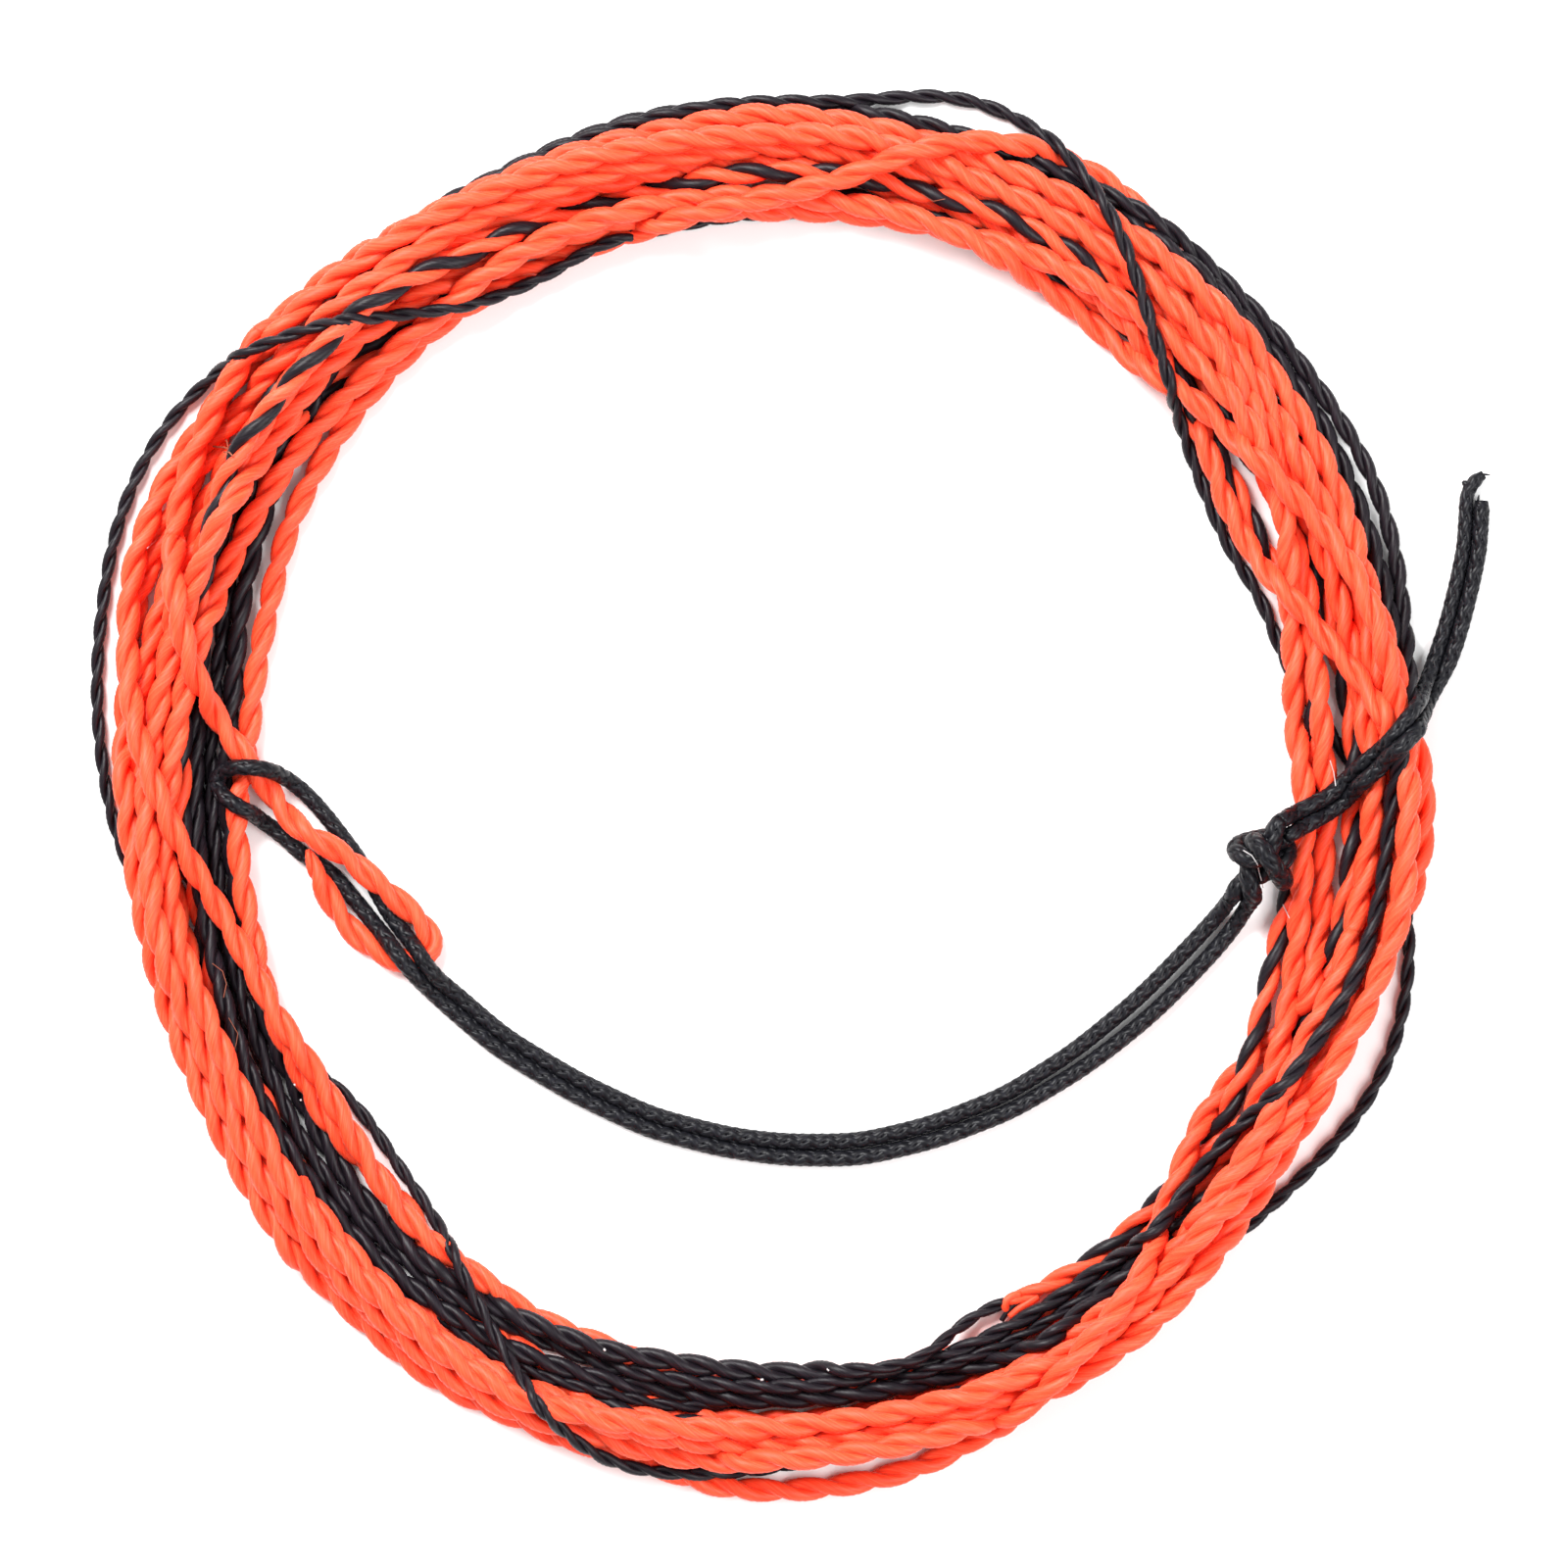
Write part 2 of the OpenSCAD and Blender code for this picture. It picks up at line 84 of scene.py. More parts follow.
# The line's laps from the tip to the lead. Each stretch is a height rank, the higher the nearer to the
# top of the pile, and then pairs of an angle (degrees, counted on anticlockwise) and a radius (mm).
lapTable = [
    (1, [  # the tip, under the others
        168, 29.5, 180, 29.2, 190, 29.1, 199, 29.2, 208, 29.55, 214, 30, 219, 30.2]),
    (3, [226, 30.7, 235, 31.7]),  # black, lap 1
    (4.5, [245, 32.25, 250, 32.15, 255, 31.95, 259, 31.95, 262, 32]),
    (3, [268, 31.6, 275, 31.05, 281, 30.85, 287, 30.8, 292, 30.85, 297, 30.75, 301, 30.55, 305, 30.35]),
    (1.5, [312, 30.5, 330, 31.25, 345, 31.25, 0, 32, 10, 32.25]),
    (6, [17, 32.5, 25, 32.9]),  # half hidden at the right
    (3, [32, 32.75, 45, 32, 60, 31, 75, 30, 90, 29.5, 98, 29.25]),
    (12, [  # the bow at the left
        105, 29.15, 107, 29.25, 110, 28.85, 113, 28.6, 116, 28.55, 119, 28.7, 122, 29, 124, 29.4, 126, 30,
        128, 30.6, 130, 31.25, 132, 32, 134, 32.75, 136, 33.4, 138, 34.1]),
    (8, [140, 34.75, 142, 35.25]),
    (2, [145, 35.75, 148, 36.05, 151, 36.2, 154, 36.2, 157, 36.1, 160, 35.9, 163, 35.6, 166, 35.3, 170, 35]),
    (0, [173, 34.7, 176, 34.4, 180, 34, 183, 33.65, 187, 33.1, 195, 31.5, 205, 29, 212, 27.25]),
    (6, [217, 26.6, 220, 26.65]),  # out from under the others and over them at the bottom
    (12, [
        222, 26.75, 225, 27.05, 228, 27.35, 230, 27.5, 232, 27.9, 235, 28.4, 237, 29.1, 238, 29.4, 240, 30,
        242, 30.6, 244, 31.5, 246, 32.15, 248.5, 32.95, 251, 33.9, 253.1, 34.55, 255.4, 35.18]),
    (10, [258.2, 35.5, 260.8, 35.4]),
    (8, [263.7, 35.25, 267, 35.1]),
    (5, [269.6, 34.85]),
    (1, [273, 34.5, 280, 34, 290, 33.25, 305, 32.5, 312, 32.75]),
    (0, [  # the bow at the right
        317, 33.15, 320, 33.4, 322, 33.6, 324, 33.75, 326, 34, 328, 34.2, 330, 34.4, 333, 34.6, 335, 34.65,
        337, 34.65, 340, 34.5, 342, 34.25, 344, 34.1, 346, 33.8, 348, 33.5, 349.5, 33.2, 355, 32, 2, 30, 8,
        28.25, 13, 27.25]),
    (2, [17, 27, 20, 27.15, 23, 26.85, 27, 26.55, 30, 26.6, 33, 26.9]),  # over everything at the upper right
    (12, [
        36, 27.15, 39, 27.65, 42, 28.15, 45, 28.9, 47, 29.5, 50, 30.25, 52, 31.1, 55, 32.25, 57, 33.25, 60,
        34.25, 62, 35, 64, 35.6]),
    (9, [66, 36.1, 69, 36.6, 73, 36.85, 76, 36.65]),
    (5, [79, 36.15, 81, 35.75, 83, 35.35, 86, 35.1, 95, 35, 105, 34.6, 115, 34.2]),
    (1, [125, 33.5, 140, 32, 155, 30, 165, 29, 175, 28.75]),
    (5, [  # black, lap 3
        183, 28.55, 190, 28.6, 195, 28.75, 200, 28.9, 205, 29.15, 210, 29.4, 215, 29.75, 220, 30.1, 225,
        30.35, 235, 30.55, 245, 30.6, 255, 30.55, 265, 30.55, 275, 30.5, 281, 30.35, 287, 30.25, 292, 30.2,
        297, 30, 301, 29.9, 305, 29.75]),
    (11, [  # over the orange laps at the lower right
        308, 29.9, 312, 29.8, 316, 29.5, 318, 29.4, 319.5, 29.3, 321.2, 29.25, 322.9, 29.3, 324.9, 29.5,
        327.1, 29.7, 329.1, 30.02, 331.4, 30.27, 334, 30.48, 336.8, 30.73, 339.4, 31.01, 341.5, 31.27, 344,
        31.38, 346.1, 31.61, 348.7, 31.68, 354.3, 31.6, 0, 31.7]),
    (6, [  # outermost at the right
        8, 33, 12, 33.25, 18, 34, 25, 34.65, 30, 34.85, 40, 34.75, 50, 35, 55, 35.1, 58, 35.15]),
    (4, [62, 34.85, 72, 34.85, 80, 34.9, 90, 34.85, 100, 34.9, 110, 34.45, 119, 34.15]),  # under the crossing
    (2, [130, 33.25, 140, 32.5, 155, 31, 165, 30]),
    (5.5, [  # black, lap 4
        175, 29.35, 183, 29.4, 190, 29.5, 200, 29.75, 207, 30.1, 215, 30.6, 225, 31.15, 235, 31.35, 245,
        31.45, 255, 31.4, 270, 31.2, 280, 31.2, 287, 31.35, 292, 31.5, 297, 31.5, 300, 31.25, 303, 30.8]),
    (2, [312, 30.6, 325, 30.9, 340, 32, 0, 32.5]),
    (6.5, [10, 32.75, 15, 32.9, 20, 33.2, 25, 33.4, 30, 33.7, 35, 34]),  # beside the outermost
    (4.5, [40, 34.15, 48, 34.25, 55, 34.35, 62, 34.4]),
    (3, [72, 34.5, 85, 34.5, 100, 34.25]),
    (1, [115, 33.25, 130, 32, 145, 30, 160, 28.75]),
    (5, [  # black, lap 5
        170, 27.8, 180, 27.65, 190, 27.75, 200, 28.1, 205, 28.3, 210, 28.5, 215, 28.8, 220, 29.15, 225,
        29.6, 235, 29.9, 245, 29.85, 255, 29.85, 260, 29.6, 270, 29.85, 275, 29.85, 280, 30.05, 284, 30.15]),
    (7, [286, 30.1, 287.2, 29.9, 288.6, 29.4, 289.8, 28.9, 291.5, 28.8, 293.2, 28.8]),  # to the colour change
    (7, [  # striped, from the colour change
        296, 29, 298.5, 29.2, 300.7, 29.2, 302.8, 29.25, 305, 29.35, 308, 29.35, 312, 29.2, 318, 29, 322.9,
        28.82, 325.8, 28.51, 330, 28.21, 333.6, 27.8, 335.7, 27.7, 338.7, 27.35, 342.7, 27.19, 346, 27.1]),
    (2, [350, 27.2, 355, 27.5, 5, 28, 18, 28.4]),
    (5, [28, 28.1, 33, 28.5, 38, 28.7]),
    (4, [46, 29.5]),
    (7, [  # striped, along the top
        55, 31.25, 62, 31.4, 65, 31.6, 70, 31.6, 75, 31.4, 77, 31.6, 86, 31.5, 93, 31.4, 99, 31.3, 107,
        31.2, 115, 31.25, 120, 31.1, 123, 31.5, 126, 31.85, 131, 32, 138, 31.8, 143, 31.85, 147, 32]),
    (5.5, [152, 31.6, 160, 30.75, 170, 30.3, 177, 30, 185, 30.1, 192, 30, 200, 30.25, 206, 30.3]),
    (1, [
        215, 30.6, 230, 32, 245, 32.5, 260, 32.75, 275, 32.75, 290, 32.5, 305, 31.9, 320, 30.6, 335, 30,
        350, 30, 5, 30, 20, 30, 35, 30, 50, 30, 65, 30.25, 80, 30.5, 95, 30.25, 105, 30]),
    (1, [  # orange, three laps under the others
        125, 30.25, 140, 30.6, 155, 31.25, 170, 31.9, 185, 31.8, 200, 31.6, 215, 32, 230, 32.75, 245, 33.25,
        260, 33.5, 275, 33.4, 290, 33, 305, 32.25, 320, 31.25, 335, 30.5, 350, 30.75, 5, 31, 20, 31, 35,
        31.25, 50, 32, 65, 32.5, 80, 32.5, 95, 32, 110, 32, 125, 32, 140, 32]),
    (2, [  # the second
        155, 32.4, 170, 32.5, 185, 32.1, 200, 32, 215, 32.5, 230, 33.4, 245, 34, 260, 34.2, 275, 34, 290,
        33.25, 305, 32, 320, 31.25, 335, 31, 350, 31.5, 5, 31.6, 20, 31.5, 35, 32, 50, 32.75, 65, 33, 80,
        33.25, 95, 33.25, 110, 33, 125, 32.5, 140, 32]),
    (3, [  # the third
        155, 31.75, 170, 31.4, 185, 31.25, 200, 31.25, 215, 31.75, 230, 32.5, 245, 32.9, 260, 33, 275,
        32.75, 290, 32.5, 305, 31.6, 320, 30.6, 335, 30.75, 350, 32, 0, 32.25]),
    (9.5, [  # up over the others at the right
        6, 31.75, 8, 31.4, 10, 30.75, 12, 30.1, 15, 29.4, 18, 28.75, 20, 28.25, 23, 27.75, 25, 27.5, 28,
        27.4]),
    (6, [31, 27.4, 34, 27.65, 37, 28.25]),
    (3, [
        45, 29.5, 60, 30.5, 75, 31.25, 90, 32, 105, 32, 120, 32, 135, 32, 150, 31.6, 168, 31, 180, 30.6,
        195, 31, 210, 31]),
    (6, [  # along the bottom
        220, 31.4, 225, 31.6, 230, 32, 235, 32.25, 240, 32.85, 245, 33, 258, 33.4, 270, 33.4, 280, 33.3,
        295, 33]),
    (4, [305, 32.5, 320, 32, 335, 31.9]),
    (6, [345, 32.25, 350, 32.5, 355, 32.5, 0, 32.5, 8, 32.4, 20, 31.9, 30, 31.6]),
    (3, [35, 31.9, 40, 32.3, 45, 32.8, 50, 33.6, 52, 34.1, 54, 34.5, 56, 34.9, 58.5, 35.4, 60.5, 35.65]),
    (9, [  # outermost at the upper right, then inwards over the top
        64, 35.7, 66, 35.55, 69, 35.25, 72, 34.75, 75, 34, 78, 33, 80, 32.25, 82, 31.5, 85, 30.75, 88,
        30.35, 90, 30, 95, 29.6, 100, 29.35, 105, 29.4]),
    (5, [112, 29.5, 125, 29.25, 130, 29]),
    (6, [  # innermost at the left
        137, 28.75, 142, 28.5, 147, 28.25, 152, 28, 157, 27.5, 160, 27.25, 165, 27, 175, 26.85, 180, 27.15,
        190, 27.4, 195, 27.4, 205, 27.9, 210, 27.9, 215, 28.25, 220, 28.4, 225, 28.1, 230, 28.3]),
    (0.5, [238, 30.6, 250, 32, 270, 32.5, 285, 32.5, 300, 32.1, 312, 31.1]),
    (5.5, [  # inner side at the lower right
        315, 30.9, 318, 30.75, 322, 30.6, 325, 30.5, 328, 30.4, 335, 30, 338, 30.3, 340, 30.55, 345, 30.6,
        350, 30.6, 355, 30.75, 0, 30.85]),
    (4, [10, 30.6, 25, 30.75, 40, 31.5, 60, 32, 75, 32.5]),
    (6, [  # along the left and the bottom
        90, 32.75, 100, 32.5, 110, 32.5, 120, 32.75, 125, 32.6, 140, 33.1, 155, 33.75, 165, 33.75, 170,
        33.4, 175, 33.1, 180, 32.8, 185, 32.65, 190, 32.45, 195, 32.5, 200, 32.65, 205, 32.7, 210, 32.85,
        215, 33.2, 220, 33.55, 225, 34, 230, 34.15, 235, 34.4, 240, 34.8, 245, 34.7, 250, 34.7, 254, 34.6]),
    (4, [258, 34.85, 262, 35.35]),  # the bow at the bottom
    (6, [
        264.8, 35.65, 266.4, 35.85, 269.6, 35.95, 272.8, 35.95, 276, 35.85, 279.3, 35.75, 281, 35.7, 284,
        35.45, 287, 34.95, 290, 34.4]),
    (9, [  # inwards over the others
        293, 33.8, 295, 33.35, 298, 32.8, 300, 32.3, 303, 31.65, 305, 31.6, 307.1, 31.2, 309.7, 30.64,
        311.7, 30.04, 313.6, 29.4, 315.9, 28.85, 317.8, 28.45, 320.7, 28.05]),
    (6, [
        324.2, 27.87, 328.1, 27.9, 330.2, 28.1, 332.9, 28.62, 335, 29.1, 337, 29.5, 339.4, 29.64, 343.7,
        29.3, 346.4, 29.07, 349.9, 28.83, 353.7, 28.56, 0, 28.45, 5, 28.35, 10, 28.4, 15, 28.75, 20, 29.25]),
    (4, [30, 30, 42, 31.75]),
    (6.5, [  # along the top
        55, 32.4, 60, 32.5, 65, 32.6, 70, 32.65, 83, 33.6, 90, 33.25, 100, 33.25, 105, 33.35, 115, 33.5,
        125, 33.9, 140, 34.5, 146, 34.5]),
    (9, [  # inwards over the others at the left
        150, 34.4, 153, 34.5, 156, 34.6, 160, 34.5, 163, 34.25, 165, 33.9, 168, 33.5, 172, 32.9, 175, 32.25,
        178, 31.6, 180, 31.25, 183, 30.5, 185, 30.25, 187, 29.75, 190, 29.1, 193, 28.65, 196, 28.15, 200,
        27.85, 205, 27.6, 208, 27.4, 212, 27.25, 216, 27.4, 220, 27.65, 225, 28.25]),
    (7, [230, 28.8, 235, 28.9, 239, 29.15]),
    (3, [245, 29.6, 249, 29.65, 254, 29.8, 258, 30.15]),
    (0.5, [265, 30.4, 275, 30.6, 285, 30.6, 300, 30.5, 315, 30.1]),
    (7, [  # inner side at the right
        328, 29.55, 330, 29.55, 332.7, 29.3, 335, 29.05, 337, 28.85, 340, 28.48, 343.3, 28.17, 346.3, 27.83,
        350, 27.56, 353.5, 27.45, 0, 27.35, 5, 27.1, 10, 27.25, 15, 27.75, 20, 28.25]),
    (4, [30, 30.1]),
    (7, [40, 30.85, 45, 30.75, 50, 30.6, 60, 30.5, 65, 30.25, 70, 30, 75, 29.85]),
    (5, [90, 29.6, 110, 30, 125, 30.75]),
    (7, [  # round the left and the bottom
        135, 31.25, 145, 31, 160, 31, 170, 31.3, 180, 31.65, 190, 31.85, 195, 31.95, 200, 31.75, 205, 31.65,
        210, 31.8, 215, 32.25, 220, 32.6, 225, 32.95, 230, 33.25, 235, 33.4, 240, 33.9, 245, 34.25, 250,
        34.25, 255, 34, 258, 34.2, 260, 34.4, 263, 34.4, 266, 34.2, 270, 34, 277, 33.95, 280, 33.95, 283,
        33.9, 286, 33.9, 292, 33.85, 295, 33.75, 300, 33.4, 305, 33.35, 310, 33.05, 315, 32.6, 320, 32.4,
        325, 32.05, 330, 31.95, 335, 31.85, 338, 32.15, 342, 32.4, 345, 32.4, 348, 32.75,
        355, 32.5, 0, 32.5]),
    (8, [  # inwards at the upper right
        10, 32.1, 15, 32, 20, 31.75, 25, 31.25, 28, 30.6, 32, 30.1, 36, 29.75, 40, 29.5, 44, 29.25, 47,
        28.85, 50, 28.75, 55, 29, 60, 29.25, 65, 29.5, 75, 30]),
    (6, [
        90, 30.25, 105, 30.25, 110, 30.35, 115, 30.1, 120, 29.9, 125, 29.6, 130, 29.4, 135, 29.5, 145,
        29.65, 155, 29.85, 165, 30]),
    (7, [  # the last lap but one, along the left and the bottom
        175, 30.4, 183, 30.9, 190, 31, 195, 31.1, 200, 30.9, 205, 30.8, 210, 31, 215, 31.35, 220, 31.65,
        225, 32.15, 230, 32.4, 235, 32.65, 240, 33.1, 245, 33.4, 250, 33.4, 253, 33, 255, 33.1, 260, 32.85,
        265, 32.6, 270, 32.45, 275, 32.35, 285, 32.3, 290, 32.4, 295, 32.4, 300, 32.5, 305, 32.4, 310,
        31.75, 312, 31.4, 315, 31.25, 318, 31.4, 335, 31.4]),
    (4, [342, 32.25]),
    (6.5, [  # the last lap, outermost
        350, 33.15, 352, 33.5, 355, 33.55, 357, 33.6, 0, 33.4, 5, 32.75, 10, 32.4, 15, 32.25, 18, 32, 22,
        32.25, 25, 32.5, 30, 32.85, 35, 33.1, 40, 33.35, 45, 33.5, 55, 33.8, 65, 33.85, 70, 33.8, 78, 34.1,
        87, 34.3, 91, 34.5, 95, 34.1, 105, 33.9, 115, 33.8, 125, 34, 130, 34.6, 135, 34.6, 140, 34.75, 145,
        34.4]),
    (10, [  # to the lead
        148, 34.15, 152, 33.75, 155, 33.4, 158, 32.75, 160, 32.25, 163, 31.4, 166, 30.6, 168, 30, 170, 29.4]),
]
# The lead and the eye: x, y (mm) and height rank.
eyeTable = [
    (-30.1, 5.8, 10), (-29.5, 4.2, 10), (-28.75, 3, 10), (-27.85, 1.9, 9), (-26.7, 0.3, 7),
    (-25.85, -1, 6), (-25.1, -1.85, 6), (-24.4, -2.35, 6), (-23.6, -2.6, 6), (-22.6, -3.1, 6.5),
    (-21.8, -3.95, 7), (-20.8, -4.85, 7), (-19.65, -5.8, 7), (-18.85, -6.45, 6), (-18.2, -7.25, 4),
    (-18, -8.1, 2), (-18.5, -8.8, 1), (-19.4, -8.85, 1), (-20.9, -8.3, 1), (-21.7, -7.75, 1),
    (-22.6, -6.95, 1.5), (-23.35, -5.85, 2.5), (-23.95, -4.7, 4), (-24.35, -3.6, 5), (-24.6, -2.85, 5.5),
    (-24.9, -2.3, 5.5)]


def lapLine(table, c):
    # x = centre + r cos(angle), y = centre + r sin(angle), z = rank x rankHeight + floorLift.
    rows = np.array([(angle, radius, rank) for rank, pairs in table
                     for angle, radius in zip(pairs[::2], pairs[1::2])])
    turned = np.cumsum(np.r_[rows[0, 0], np.diff(rows[:, 0]) % 360])
    fine = np.arange(turned[0], turned[-1], c["step"])
    radius = smoothAlong(np.interp(fine, turned, rows[:, 1]), c["radiusReach"])
    rank = smoothAlong(np.interp(fine, turned, rows[:, 2]), c["rankReach"])
    angle = np.radians(fine)
    return np.stack([c["centre"][0] + radius * np.cos(angle),
                     c["centre"][1] + radius * np.sin(angle),
                     rank * c["rankHeight"] + c["floorLift"]], 1)


def routeLine(table, c, reach):
    # A free route through x, y and rank, rounded off at its corners.
    points = np.array(table, float)
    points[:, 2] = points[:, 2] * c["rankHeight"] + c["floorLift"]
    return smoothAlong(resample(points, c["fine"]), reach)


laps = lapLine(lapTable, coil)
eye = routeLine(eyeTable, coil, coil["bendReach"])
lineLaid = smoothAlong(resample(np.vstack([laps, eye]), coil["fine"]), coil["bendReach"])
lineLaid = resample(lineLaid, coil["spacing"])
print("line laid:", len(lineLaid), "points,", round(travelled(lineLaid)[-1]), "mm")

connector = dict(rankHeight=0.62, floorLift=0.5, spacing=0.45, diameter=0.85, fine=0.1, pairReach=6,
                 pairTilt=0.12, hitchReach=3, bendReach=5, swell=1.02, hold=0.3)
# The doubled braid from the eye to the knot: x, y, height rank, and half the distance between its strands.
pairTable = [
    (-18.6, -9.45, 3, 0.34), (-14.8, -12.75, 1, 0.3), (-10.95, -15.05, 0.5, 0.3),
    (-7.15, -16.85, 0.5, 0.3), (-3.3, -17.85, 0.5, 0.38), (-0.3, -18.25, 0.5, 0.42),
    (3.55, -18.25, 0.5, 0.44), (7.35, -17.35, 0.5, 0.44), (11.2, -15.85, 0.5, 0.46),
    (14.7, -13.7, 0.5, 0.5), (16.5, -12.3, 0.5, 0.54), (18.25, -10.85, 0.6, 0.55), (20, -9.1, 1, 0.56),
    (21.8, -7.2, 1.6, 0.55), (22.9, -5.8, 2.2, 0.48), (23.3, -4.8, 2.6, 0.42)]
# Its upper strand goes on through the eye and round the line, and comes back as the lower one.
upperTable = [
    (-18.75, -8.4, 4), (-19.3, -7.65, 4), (-19.85, -7.05, 4), (-20.35, -6.4, 4), (-20.8, -5.7, 4),
    (-21.3, -4.7, 4), (-21.75, -3.85, 4), (-22.2, -3.15, 4.5), (-22.75, -2.45, 5), (-23.6, -1.3, 6),
    (-24.55, -0.2, 7.5), (-25.45, 0.6, 10), (-26.45, 1.2, 12), (-27.6, 1.45, 13), (-28.7, 1.4, 13)]
lowerTable = [
    (-29.3, 1.15, 13), (-29.5, 0.75, 12), (-29.3, 0.25, 11), (-28.8, -0.25, 10), (-27.65, -0.95, 8),
    (-26.5, -1.75, 5), (-25.5, -2.55, 2.5), (-24.6, -3.3, 2.5), (-23.4, -4.05, 3.5), (-22.85, -4.75, 4),
    (-22.05, -5.7, 4), (-21.1, -6.9, 4), (-20.4, -7.8, 4), (-19.7, -8.65, 4)]
# The two cut ends, from the knot on.
tailTable = [
    (25.2, -1.7, 5, 0.42), (26.2, -1.2, 8, 0.42), (27.85, -0.35, 12, 0.36), (29.35, 1.15, 12, 0.32),
    (31.1, 3, 12, 0.3), (32.2, 4.5, 12, 0.3), (33.3, 6.5, 12, 0.3), (33.98, 8.5, 12, 0.3),
    (34.48, 10.5, 11, 0.3), (34.9, 12.5, 6, 0.3), (35.0, 14.0, 2, 0.32), (35.05, 15.35, 1, 0.34)]

# The long one goes on past the short one and turns aside: x, y, z (mm).
tailTip = [(34.75, 15.5, 1.1), (34.85, 15.85, 1.1), (35.15, 16.15, 1.05), (35.65, 16.42, 1)]


def besidePair(table, c):
    # Two lines either side of the middle one, one a little higher: middle +- half gap x the sideways way.
    fine = smoothAlong(resample(np.array(table, float), c["fine"]), c["pairReach"])
    way = np.gradient(fine[:, :2], axis=0)
    side = np.stack([-way[:, 1], way[:, 0]], 1) / np.linalg.norm(way, axis=1)[:, None]
    height = fine[:, 2:3] * c["rankHeight"] + c["floorLift"]
    north = np.hstack([fine[:, :2] + side * fine[:, 3:4], height + c["pairTilt"]])
    south = np.hstack([fine[:, :2] - side * fine[:, 3:4], height - c["pairTilt"]])
    return north, south


north, south = besidePair(pairTable, connector)
hitch = routeLine(upperTable + lowerTable, connector, connector["hitchReach"])
loopLaid = resample(np.vstack([north[::-1], hitch, south]), connector["fine"])
loopLaid = resample(smoothAlong(loopLaid, connector["bendReach"]), connector["spacing"])
tailLeft, tailRight = besidePair(tailTable, connector)
tailLeft = np.vstack([tailLeft, np.array(tailTip)])
tailsLaid = [resample(t, connector["spacing"]) for t in (tailLeft, tailRight)]

settle = dict(rounds=400, calm=60, drop=0.035, calmDrop=0.0035, hold=0.55, stiff=0.12, reach=2.2,
              refresh=20, push=0.5, squeeze=0.92, passes=3, apart=5, block=512, least=1e-6)


def closePairs(points, cords, s):
    # Every two points nearer than reach as seen from above, but for close neighbours on one cord.
    found = []
    for start in range(0, len(points), s["block"]):
        rows = slice(start, start + s["block"])
        gap = ((points[rows, None, :2] - points[None, start:, :2]) ** 2).sum(2)
        i, j = np.nonzero(gap < s["reach"] ** 2)
        i, j = i + start, j + start
        keep = (j > i) & ((cords[i] != cords[j]) | (j - i > s["apart"]))
        found.append(np.stack([i[keep], j[keep]]))
    return np.hstack(found)


def partTouching(p, a, b, touch, s):
    # Any two points nearer than touch move apart along the line between them, each move shared out by the
    # root of how many it has, and all the moves come back at once.
    apart = p[a] - p[b]
    gap = np.linalg.norm(apart, axis=1) + s["least"]
    near = np.flatnonzero(gap < touch)
    move = apart[near] * ((touch[near] - gap[near]) / gap[near] * s["push"])[:, None]
    count = np.bincount(a[near], minlength=len(p)) + np.bincount(b[near], minlength=len(p))
    total = np.stack([np.bincount(a[near], move[:, k], len(p)) - np.bincount(b[near], move[:, k], len(p))
                      for k in range(3)], 1)
    return total / np.sqrt(np.maximum(count, 1))[:, None]


def letSettle(lines, widths, holds, s):
    # Each round lets the points sink a little, draws them towards their places and straightens the line,
    # then moves apart any two that are nearer than half their widths together, and lifts any off the floor.
    sizes = [len(x) for x in lines]
    cords = np.repeat(np.arange(len(lines)), sizes)
    p = np.vstack(lines).astype(np.float32)
    home = p.copy()
    wide = np.concatenate(widths).astype(np.float32) * s["squeeze"]
    hold = np.concatenate(holds).astype(np.float32)[:, None]
    inner = np.flatnonzero((cords[1:-1] == cords[:-2]) & (cords[1:-1] == cords[2:])) + 1
    fixed = np.flatnonzero(hold[:, 0] >= 1)
    for turn in range(s["rounds"] + s["calm"]):
        if turn % s["refresh"] == 0:
            a, b = closePairs(p, cords, s)
            touch = (wide[a] + wide[b]) / 2
        p[:, 2] -= s["drop"] if turn < s["rounds"] else s["calmDrop"]
        p[:, :2] += (home - p)[:, :2] * hold
        p[inner] += ((p[inner - 1] + p[inner + 1]) / 2 - p[inner]) * s["stiff"]
        for again in range(s["passes"]):
            p += partTouching(p, a, b, touch, s).astype(np.float32)
            p[:, 2] = np.maximum(p[:, 2], wide / 2)
        p[fixed] = home[fixed]
    return np.split(p.astype(float), np.cumsum(sizes)[:-1])


taper = dict(part=(0, 0.05, 0.1, 0.13, 0.16, 0.19, 0.225, 0.26, 0.3, 0.39, 1),
             width=(0.6, 0.7, 0.74, 0.8, 0.86, 0.94, 1.02, 1.08, 1.12, 1.18, 1.3))
joints = dict(at=(11.15, -25.95), between=(0.25, 0.33), neck=(-11, -8, 0, 3), neckWidth=(1, 0.62, 0.62, 1),
              end=(0, 1.6), endWidth=(0.3, 1), turnedBack=2.6, stripedOrange=(15 - 9.15) / 15,
              orangeSplit=0.69, leadBetween=(0.95, 1), leadLength=8)


def lineWidth(part):
    # Width as it grows from the tip (part 0) to the butt (part 1).
    return np.interp(part, taper["part"], taper["width"])


def nearestTo(line, part, place, between):
    # The point nearest a place as seen from above, within a given stretch of the line.
    away = np.linalg.norm(line[:, :2] - np.array(place), axis=1)
    return np.argmin(away + 99 * ((part < between[0]) | (part > between[1])))


